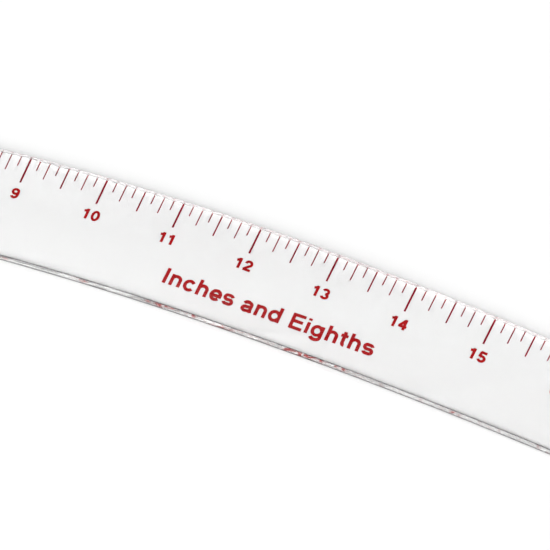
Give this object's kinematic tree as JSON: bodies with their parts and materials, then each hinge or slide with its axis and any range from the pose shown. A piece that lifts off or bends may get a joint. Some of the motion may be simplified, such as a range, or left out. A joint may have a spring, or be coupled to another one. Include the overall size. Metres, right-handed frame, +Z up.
{
  "type": "hip curve ruler",
  "caption": "Long clear acrylic hip curve for pattern drafting: a bowed, tapering blade with a red inch scale printed under its outer edge and a hanging hole.",
  "frame": {"origin": "middle of the underside of the whole part's bounding box, at the level of the printed ink", "axes": "+X along the blade at the 12-inch mark, towards the higher numbers; +Y out through the scale edge; +Z up through the unprinted top face"},
  "size_m": [0.6114, 0.091, 0.003],
  "materials": {
    "clear_acrylic": "clear cast acrylic sheet, polished faces, machined edges",
    "scale_ink": "screen-printed deep red ink, thin lines",
    "lettering_ink": "screen-printed red ink, solid bold lettering"
  },
  "bodies": {
    "root": {"blade": "clear_acrylic", "inch_marks": "scale_ink", "half_inch_marks": "scale_ink", "quarter_inch_marks": "scale_ink", "eighth_inch_marks": "scale_ink", "numerals": "lettering_ink", "legend": "lettering_ink"}
  },
  "joints": []
}
